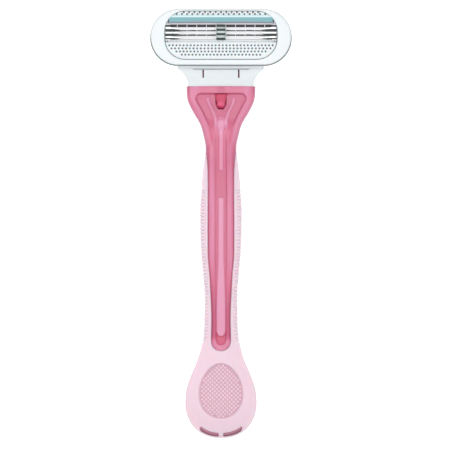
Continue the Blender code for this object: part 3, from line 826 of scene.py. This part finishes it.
def tail_bar(sign):
    """Curved bar of core plastic that shows in a tail window."""
    rows = []
    reach = BULB_Y - TAIL_Y
    scale_mid, scale_half = sum(WINDOW_SCALE) / 2, (WINDOW_SCALE[1] - WINDOW_SCALE[0]) / 2
    for t in steps(0.0, 1.0, 24):
        x = WINDOW_X[0] + 0.05 + (WINDOW_X[1] - WINDOW_X[0] - 0.1) * t
        fit = math.sqrt(max(0.0, 1 - max(0.0, 1 - min(t, 1 - t) * 12) ** 2)) * 0.85 + 0.1
        row = []
        for a in turn(12):
            scale = scale_mid + scale_half * fit * math.cos(a)
            across = min(x / (through(WIDTH_STATIONS, BULB_Y) * scale), 1.0)
            y = BULB_Y - reach * scale * (1 - across ** BULB_ROUND) ** (1 / BULB_ROUND)
            row.append((sign * x, y, surface_z(x, y) - 0.62 + 0.28 * fit * math.sin(a)))
        rows.append(row)
    return solid(rows)


class RAZOR_OT_skin(bpy.types.Operator):
    """Soft overmould with ribbed edges, thumb oval and tail windows"""
    bl_idname = "razor.skin"
    bl_label = "Soft skin"

    def execute(self, context):
        piece("grip_skin", solid(skin_rows()), skin_material(), "handle", "grip_overmould", sharp=50.0,
              tint=skin_tint)
        mauve = finish("mauve skin", colours().thumb, scale=1400.0, roughness=0.5, bump=0.05)
        piece("thumb_pad", thumb_pad(), mauve, "handle", sharp=60.0)
        light = finish("pale bumps", colours().skin, scale=1400.0, roughness=0.35, bump=0.03)
        piece("thumb_bumps", thumb_bumps(), light, "handle")
        # the bar turns dark towards its outer side: painted shade of the window's deep wall
        window_with_shade = finish("window plastic", blended("low", (0.56, 0.22, 0.31), (0.23, 0.06, 0.10)),
                        scale=600.0, roughness=0.2, coat_weight=0.3)
        for label, sign in SIDES:
            piece(f"tail_window_{label}", tail_bar(sign), window_with_shade, "handle",
                  tint=lambda p: {"low": soft_step(tail_scale(p.x, p.y) - WINDOW_SCALE[0] - 0.025, 0.06)})
        return {"FINISHED"}


# ---- neck mechanism --------------------------------------------------------------
LIP_Y, LIP_Z = 50.62, 8.95      # rear foot of the connector's raised edge
COILS = (   # node, (radius, wire radius, turns), joint, its travel, and which end stays
    ("plunger_spring", (1.15, 0.2, 4), "plunger_slide", 2.7, 0),
    ("button_spring", (1.0, 0.15, 4), "button_slide", 2.3, 1),
)


def spring(y_pair, z, radius, wire, turns):
    """Coil along y with ground ends."""
    rows = []
    count = 20 * turns
    for k in range(count + 1):
        a = 2 * math.pi * turns * k / count
        squeeze = min(max((k / count - 0.08) / 0.84, 0.0), 1.0)
        y = y_pair[0] + wire + (y_pair[1] - y_pair[0] - 2 * wire) * squeeze
        rows.append([((radius + wire * math.cos(b)) * math.cos(a), y + wire * math.sin(b),
                      z + (radius + wire * math.cos(b)) * math.sin(a)) for b in turn(10)])
    return solid(rows)


def lip():
    """Raised rear edge of the connector, under the surround."""
    profile = ((-10, 0.0), (20, 0.0), (50, 0.08), (70, 0.2), (90, 0.45), (90, 0.75), (70, 0.9), (40, 1.0),
               (-10, 1.0))
    rows = []
    for x in steps(-13.7, 13.7, 40):
        height = 1.25 * soft_step(13.9 - abs(x), 1.6)
        rows.append([(x, LIP_Y + r, LIP_Z + height * math.sin(math.radians(a))) for a, r in profile])
    return solid(rows)


class RAZOR_OT_mechanism(bpy.types.Operator):
    """Release button, spring-loaded plunger, their springs and the connector"""
    bl_idname = "razor.mechanism"
    bl_label = "Release mechanism"

    def execute(self, context):
        c = colours()
        tongue = finish("deep red plastic", blended("side", c.tongue, (0.68, 0.04, 0.14)), scale=600.0,
                        roughness=0.3, coat_weight=0.15, coat_roughness=0.15)
        cad_piece("release_tongue", "release_button", 0.18, tongue, "release_button",
                  tint=lambda p: {"side": max(soft_step(abs(p.x) - 0.75, 0.5), soft_step(39.4 - p.y, 0.6))})
        pale = finish("pale acetal", c.white, roughness=0.32)
        cad_piece("plunger_slider", "plunger", 0.15, pale, "plunger")
        wire = finish("spring wire", c.steel, "brushed lines", scale=400.0, roughness=0.2, metallic=1.0)
        for node, size, joint, travel, fixed_end in COILS:
            y, z = span(node)[1], sum(span(node)[2]) / 2
            coil = piece(f"{node}_coil", spring(y, z, *size), wire, "handle", node, sharp=60.0)
            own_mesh(coil)
        satin = finish("satin moulding", (0.78, 0.825, 0.835), scale=700.0, roughness=0.4, spread=0.1,
                       bump=0.03)
        cad_piece("connector_shell", "connector", 0.28, satin, "connector")
        piece("connector_lip", lip(), satin, "connector")
        # a grey bar that paints the shadow line in front of the connector's raised lip
        shadow_bar = slab([(-9.4, LIP_Y), (-8.9, 50.3), (8.9, 50.3), (9.4, LIP_Y)], 8.9, 9.2, 0.05)
        piece("connector_shadow_bar", shadow_bar, finish("grey shadow bar", (0.36, 0.40, 0.41), roughness=0.5), "connector")
        return {"FINISHED"}


# ---- cartridge -------------------------------------------------------------------
FACE_OVAL = (18.3, 53.5, 69.3, 6.7)     # inside of the surround: half width, y low, y high, corner
SEAT_OVAL = (20.55, 54.25, 68.95, 6.1)  # recess in the surround's back, where the housing sits
SEAT_Z = 11.5
LEDGE_HALF = 17.3                       # half width of the ledge and the wall along the blades
GUARD_DOTS = (                          # rows of dots: y, half length and count
    (58.1, 16.8, 30), (57.1, 16.1, 28), (56.1, 14.5, 26), (55.05, 12.75, 23))
CAP_DOTS = ((68.85, 12.1, 15), (68.3, 14.4, 18))
FINGERS = (                             # dark fingers of painted shade over an end clip: middle y, half width and x of the tip
    (64.42, 0.34, 16.2), (62.95, 0.47, 13.0), (61.5, 0.45, 13.0), (60.3, 0.24, 13.4))
# places along y of the painted-shade pads on the middle clip
CENTRE_PAD_YS = (64.42, 63.15, 61.7, 60.2)


def rounded_rect(half, low, high, corner, arc=14):
    """Outline with round corners, anticlockwise from the lower right one."""
    points = []
    for x, y, start in ((half - corner, low + corner, -90), (half - corner, high - corner, 0),
                        (corner - half, high - corner, 90), (corner - half, low + corner, 180)):
        for a in steps(math.radians(start), math.radians(start + 90), arc):
            points.append((x + corner * math.cos(a), y + corner * math.sin(a)))
    return points


def beyond(x, y, half, low, high, corner):
    """Distance outside a rounded rectangle, negative inside it."""
    dx = max(abs(x) - half + corner, 0.0)
    dy = max(abs(y - (low + high) / 2) - (high - low) / 2 + corner, 0.0)
    return math.hypot(dx, dy) - corner


def guard_pad():
    """Cushion in front of the blades: the lower part of the face oval."""
    half, low, high, corner = FACE_OVAL
    gap = 0.12
    edge = GUARD[1][1]
    lower = [p for p in rounded_rect(half - gap, low + gap, high, corner - gap) if p[1] < edge - 0.3]
    left = [p for p in lower if p[0] < 0]
    right = [p for p in lower if p[0] > 0]
    return slab(left + right + [(half - gap, edge), (gap - half, edge)], *GUARD[2], 0.15)


def surround_ring():
    """Soft pillow between the cartridge's outline and its oval face."""
    x, y, (back, top) = SURROUND
    inner = rounded_rect(*FACE_OVAL)
    outer = rounded_rect(x[1], y[0] - 0.2, y[1], (y[1] - y[0]) / 2 - 0.05)
    seat = rounded_rect(*SEAT_OVAL)

    def inset(start, end, distance, most):
        """Outline moved from start towards end, by at most a share of the way."""
        points = []
        for (sx, sy), (ex, ey) in zip(start, end):
            share = min(distance / math.hypot(ex - sx, ey - sy), most)
            points.append((sx + (ex - sx) * share, sy + (ey - sy) * share))
        return points

    profile = [(inset(inner, outer, d, 0.3), top - drop)
               for d, drop in ((0.0, 0.3), (0.06, 0.1), (0.2, 0.02), (0.45, 0.0))]
    profile += [(inset(outer, inner, d, 0.6), top - drop)
                for d, drop in ((1.5, 0.0), (0.9, 0.06), (0.6, 0.2), (0.44, 0.42), (0.4, 0.62), (0.34, 0.76),
                                (0.08, 0.84), (0.0, 0.98), (0.0, 1.15))]
    profile += [(inset(outer, inner, d, 0.6), back + rise)
                for d, rise in ((0.0, 1.4), (0.3, 0.5), (0.9, 0.0))]
    profile += [(seat, back), (seat, SEAT_Z), (inner, SEAT_Z + 0.06)]
    rings = [[(px, py, level) for px, py in outline] for outline, level in profile]
    rows = [list(row) for row in zip(*rings)]
    bm = surface(rows + rows[:1], around=True)
    bmesh.ops.recalc_face_normals(bm, faces=bm.faces)
    return bm


def surround_tint(place):
    """Vertex value of the surround: painted shade on its outer rim, fainter on the far side, and a painted
    shadow line along its inner edge.
    """
    x, (y0, y1), z = SURROUND
    inside = -beyond(place.x, place.y, x[1], y0 - 0.2, y1, (y1 - y0) / 2)
    near_side = 0.25 + 0.75 * soft_step((y0 + y1) / 2 + 3.0 - place.y, 6.0)
    outer_rim = soft_step(0.45 - inside, 0.12) * near_side
    inner_edge = 0.8 * soft_step(0.1 - beyond(place.x, place.y, *FACE_OVAL), 0.06)
    upper = soft_step(place.z - z[1] + 1.12, 0.12)
    return {"rim": upper * max(outer_rim, inner_edge)}


def dot_rows(rows, level):
    """Domes in straight rows of (y, half length, count), on a pad whose face is at level."""
    radius = bpy.context.scene.razor.sizes.dot_radius / MM
    bm = bmesh.new()
    for y, reach, count in rows:
        for x in steps(-reach, reach, count - 1):
            dome(bm, (x, y, level - 0.03), radius, 0.17)
    return bm


def strip_body():
    """Lubricating strip: shallow crown, rounded long edges and slanted ends."""
    (x0, x1), (y0, y1), (z0, z1) = STRIP
    profile = [(0.0, 0.0), (0.0, 0.82), (0.03, 0.92), (0.1, 0.97), (0.18, 0.98), (0.27, 0.99), (0.38, 1.0),
               (0.5, 1.0), (0.76, 0.99), (0.82, 0.98), (1.08, 0.95), (1.12, 0.88), (1.12, 0.0)]
    ends = (0.0, 0.1, 0.3)
    slanted = 0.7
    rows = []
    for x in [x0 + d for d in ends] + steps(x0 + slanted, x1 - slanted, 24) + [x1 - d for d in ends[::-1]]:
        slant = 0.55 * max(0.0, abs(x) - (x1 - slanted)) / slanted
        drop = 0.12 if abs(x) > x1 - 0.05 else 0.0
        rows.append([(x, y0 + (y1 - y0 - slant) * t, z0 + (z1 - z0 - drop) * f) for t, f in profile])
    return solid(rows)


def strip_tint(place):
    """Vertex values of the strip: painted shade along the lower edge with two soft streaks, and a painted
    highlight along the upper edge.
    """
    y0, y1 = STRIP[1]
    streak = hump(abs(place.x) - 7.5, 4.5) * soft_step(y0 + 0.85 - place.y, 0.4)
    return {"under": max(soft_step(y0 + 0.45 - place.y, 0.6), 0.6 * streak),
            "crest": soft_step(place.y - y1 + 0.5, 0.08)}


def guard_comb():
    """Wavy lip along the guard pad's blade-side edge."""
    rows = []
    for x in steps(-16.6, 16.6, 232):
        wave = 0.09 * math.cos(2 * math.pi * x / 1.16)
        y = GUARD[1][1]
        rows.append([(x, y - 0.3, 13.6), (x, y - 0.22, 14.53), (x, y - 0.06 + wave, 14.58),
                     (x, y + 0.1 + wave, 14.5), (x, y + 0.14 + wave, 13.6)])
    return solid(rows)


def spacer_ribs():
    """White ribs that show in the gaps between the blades, and the wall before the first edge."""
    bm = bmesh.new()
    for gap in ((64.08, 64.85), (62.76, 63.04), (61.27, 61.64)):
        for k in range(-5, 5):
            x = 3.16 * (k + 0.5)
            add(bm, block((x - 0.09, x + 0.09), gap, (13.0, 14.0), 0.02, 1))
    return add(bm, block((-LEDGE_HALF, LEDGE_HALF), (59.25, 59.93), (10.2, 13.9), 0.06))


def shade_wedges(sign):
    """Dark tapered fingers of painted shade over the blade ends."""
    bm = bmesh.new()
    z = span("end_clip_right")[2][1]
    for y, half, tip in FINGERS:
        root = max(tip + 0.2, 15.3)
        shape = [(18.1, y - half), (18.1, y + half), (root, y + half), (tip, y + 0.06), (tip, y - 0.06),
                 (root, y - half)]
        add(bm, slab([(sign * px, py) for px, py in shape], z - 0.06, z + 0.04, 0.02, 1))
    return bm


def gap_shadow_bars():
    """Dark bars across the housing's well, under the gaps between the blades: painted shadow in those gaps.
    """
    bm = bmesh.new()
    for gap in ((64.05, 64.9), (62.71, 63.09), (61.21, 61.69)):
        add(bm, block((-16.9, 16.9), gap, (10.2, 13.3), 0.03, 1))
    return bm


def centre_shade_pads():
    """Four dark pads of painted shade on the middle clip."""
    bm = bmesh.new()
    z = span("centre_clip")[2][1]
    for y in CENTRE_PAD_YS:
        add(bm, block((-1.48, 1.48), (y - 0.36, y + 0.36), (z - 0.15, z + 0.07), 0.06, 2))
    return bm


class RAZOR_OT_cartridge(bpy.types.Operator):
    """Housing, soft surround, dotted pads, lubricating strip and clips"""
    bl_idname = "razor.cartridge"
    bl_label = "Cartridge"

    def execute(self, context):
        c = colours()
        body = "cartridge"
        shell = finish("white moulding", c.white, scale=700.0, roughness=0.34, spread=0.1, bump=0.03)
        cad_piece("housing_frame", "cartridge_housing", 0.12, shell, body)
        piece("spacer_ribs", spacer_ribs(), shell, body)
        # rim paints shade on the surround's outer rim and a shadow line round its face oval
        soft = finish("soft white rubber", blended("rim", c.lip, (0.20, 0.25, 0.25)), scale=1500.0,
                      roughness=0.5, bump=0.05, subsurface_weight=0.15, subsurface_scale=0.002)
        piece("surround_ring", surround_ring(), soft, body, "soft_surround", tint=surround_tint)
        piece("guard_cushion", guard_pad(), soft, body, "guard_pad")
        cad_piece("cap_cushion", "cap_pad", 0.15, soft, body)
        grey = finish("grey dots", c.dots, scale=1500.0, roughness=0.45)
        piece("guard_dots", dot_rows(GUARD_DOTS, GUARD[2][1]), grey, body)
        piece("cap_dots", dot_rows(CAP_DOTS, CAP[2][1]), grey, body)
        comb = finish("comb rubber", (0.86, 0.89, 0.90), scale=1500.0, roughness=0.5)
        piece("guard_comb", guard_comb(), comb, body, sharp=50.0)

        # the strip's lower edge takes painted shade and its upper edge a painted highlight
        def gel(tree):
            dark = blended("under", c.strip, (0.33, 0.30, 0.38))(tree)
            return mixed(tree, value_of(tree, "crest"), dark, (0.70, 0.89, 0.91, 1.0))
        lilac = finish("lilac ledge", (0.56, 0.54, 0.60), scale=700.0, roughness=0.4)
        ledge = [(-LEDGE_HALF, 64.98), (LEDGE_HALF, 64.98), (17.0, 65.46), (-17.0, 65.46)]
        piece("strip_ledge", slab(ledge, 14.0, 14.32, 0.06), lilac, body)
        teal = finish("teal gel", gel, scale=500.0, roughness=0.3, bump=0.05)
        piece("gel_strip", strip_body(), teal, body, "lubricating_strip", tint=strip_tint)

        # near-black material that paints the shade at the blade ends and on the middle clip
        dark = finish("painted shade black", (0.05, 0.058, 0.06), "brushed lines", roughness=0.5,
                      specular_ior_level=0.25)
        plate = finish("bright clip steel", c.steel, "brushed lines", roughness=0.3, metallic=0.3)
        for label, sign in SIDES:
            piece(f"clip_shade_wedges_{label}", shade_wedges(sign), dark, body)
            cad_piece(f"clip_{label}", f"end_clip_{label}", 0.04, plate, body)
        middle = finish("grey-green clip", (0.40, 0.46, 0.44), "brushed lines", metallic=0.4)
        cad_piece("clip_spine", "centre_clip", 0.05, middle, body)
        piece("clip_shade_pads", centre_shade_pads(), dark, body)
        gap_shadow = finish("painted gap shadow", (0.045, 0.025, 0.035), roughness=0.5)
        piece("gap_shadow_bars", gap_shadow_bars(), gap_shadow, body)
        return {"FINISHED"}


class RAZOR_OT_blades(bpy.types.Operator):
    """Three blades, each on its bent steel support"""
    bl_idname = "razor.blades"
    bl_label = "Blades"

    def execute(self, context):
        c = colours()
        # painted glint: the blades are near-white with little metal, and edge makes the cutting edge a touch
        # bluer
        steel = finish("blade steel", blended("edge", c.steel, (0.97, 0.98, 0.99)), "brushed lines",
                       scale=300.0, roughness=0.22, spread=0.15, bump=0.01, metallic=0.1)
        sheet = finish("support steel", c.dark_steel, "brushed lines", scale=300.0, metallic=0.9)
        for k in (1, 2, 3):
            low = span(f"blade_{k}")[1][0]
            body = f"blade_unit_{k}"
            cad_piece(f"ground_blade_{k}", f"blade_{k}", 0.0, steel, body, sharp=12.0,
                      tint=lambda p: {"edge": soft_step(low + 0.3 - p.y, 0.05)})
            cad_piece(f"bent_support_{k}", f"blade_support_{k}", 0.06, sheet, body)
        return {"FINISHED"}


# ---- stage ---------------------------------------------------------------------
class RAZOR_OT_stage(bpy.types.Operator):
    """Pale floor, soft studio light and the camera over the blade side"""
    bl_idname = "razor.stage"
    bl_label = "Studio"

    def execute(self, context):
        scene = context.scene
        bm = bmesh.new()
        bmesh.ops.create_grid(bm, x_segments=4, y_segments=4, size=6.0)
        mesh = bpy.data.meshes.new("floor")
        bm.to_mesh(mesh)
        bm.free()
        floor = bpy.data.objects.new("floor", mesh)
        floor.location.z = LOW.z - 0.0002
        scene.collection.objects.link(floor)
        material = bpy.data.materials.new("pale floor")
        material.use_nodes = True
        shader = material.node_tree.nodes["Principled BSDF"]
        shader.inputs["Base Color"].default_value = (0.93, 0.93, 0.93, 1.0)
        shader.inputs["Roughness"].default_value = 0.9
        shader.inputs["Specular IOR Level"].default_value = 0.0
        shader.inputs["Emission Color"].default_value = (1.0, 1.0, 1.0, 1.0)
        tree = material.node_tree
        seen_only = put(tree, "ShaderNodeLightPath").outputs["Is Camera Ray"]
        glow = maths(tree, "ADD", maths(tree, "MULTIPLY", seen_only, 0.35), 0.25)
        tree.links.new(glow, shader.inputs["Emission Strength"])
        clear = put(tree, "ShaderNodeBsdfTransparent")
        facing = put(tree, "ShaderNodeNewGeometry").outputs["Backfacing"]
        seen = put(tree, "ShaderNodeMixShader", {0: facing, 1: shader.outputs[0], 2: clear.outputs[0]})
        tree.links.new(seen.outputs[0], tree.nodes["Material Output"].inputs["Surface"])
        mesh.materials.append(material)

        world = bpy.data.worlds.new("studio air")
        world.use_nodes = True
        world.node_tree.nodes["Background"].inputs["Color"].default_value = (0.97, 0.98, 1.0, 1.0)
        world.node_tree.nodes["Background"].inputs["Strength"].default_value = 0.62
        scene.world = world

        power = scene.razor.sizes.studio_light
        for name, place, size, share in (
                ("overhead softbox", (0.0, 0.05, 0.55), 0.45, 1.0),
                ("left softbox", (-0.5, 0.1, 0.35), 0.3, 0.5),
                ("right softbox", (0.5, -0.05, 0.35), 0.3, 0.35)):
            data = bpy.data.lights.new(name, "AREA")
            data.shape = "DISK"
            data.size = size
            data.energy = power * share
            lamp = bpy.data.objects.new(name, data)
            lamp.location = place
            lamp.rotation_euler = (-Vector(place)).to_track_quat("-Z", "Y").to_euler()
            lamp.visible_camera = False
            scene.collection.objects.link(lamp)

        data = bpy.data.cameras.new("camera")
        data.lens, data.sensor_width = 480.0, 36.0
        camera = bpy.data.objects.new("camera", data)
        frame_width, plane_z = 0.14685, 0.008
        distance = frame_width * data.lens / data.sensor_width
        camera.location = (0.00131, -0.00034, plane_z + distance)
        data.clip_start, data.clip_end = 0.01, 20.0
        scene.collection.objects.link(camera)
        scene.camera = camera
        scene.view_settings.view_transform = "Standard"
        return {"FINISHED"}


class RAZOR_PT_panel(bpy.types.Panel):
    """Buttons that build the razor"""
    bl_label = "Cartridge Razor"
    bl_idname = "RAZOR_PT_panel"
    bl_space_type = "VIEW_3D"
    bl_region_type = "UI"
    bl_category = "Razor"

    def draw(self, context):
        layout = self.layout
        for group in (context.scene.razor.sizes, context.scene.razor.colours):
            for key in group.bl_rna.properties.keys():
                if key not in {"rna_type", "name"}:
                    layout.prop(group, key)
        for operator in OPERATORS:
            layout.operator(operator.bl_idname)


OPERATORS = (RAZOR_OT_stage, RAZOR_OT_core, RAZOR_OT_skin, RAZOR_OT_mechanism, RAZOR_OT_cartridge,
             RAZOR_OT_blades)
CLASSES = (RazorColours, RazorSizes, RazorSettings, *OPERATORS, RAZOR_PT_panel)


def register():
    for one in CLASSES:
        bpy.utils.register_class(one)
    bpy.types.Scene.razor = bpy.props.PointerProperty(type=RazorSettings)


def unregister():
    del bpy.types.Scene.razor
    for one in reversed(CLASSES):
        bpy.utils.unregister_class(one)


def main():
    register()
    for operator in OPERATORS:
        group, name = operator.bl_idname.split(".")
        getattr(getattr(bpy.ops, group), name)()


if __name__ == "__main__":
    main()
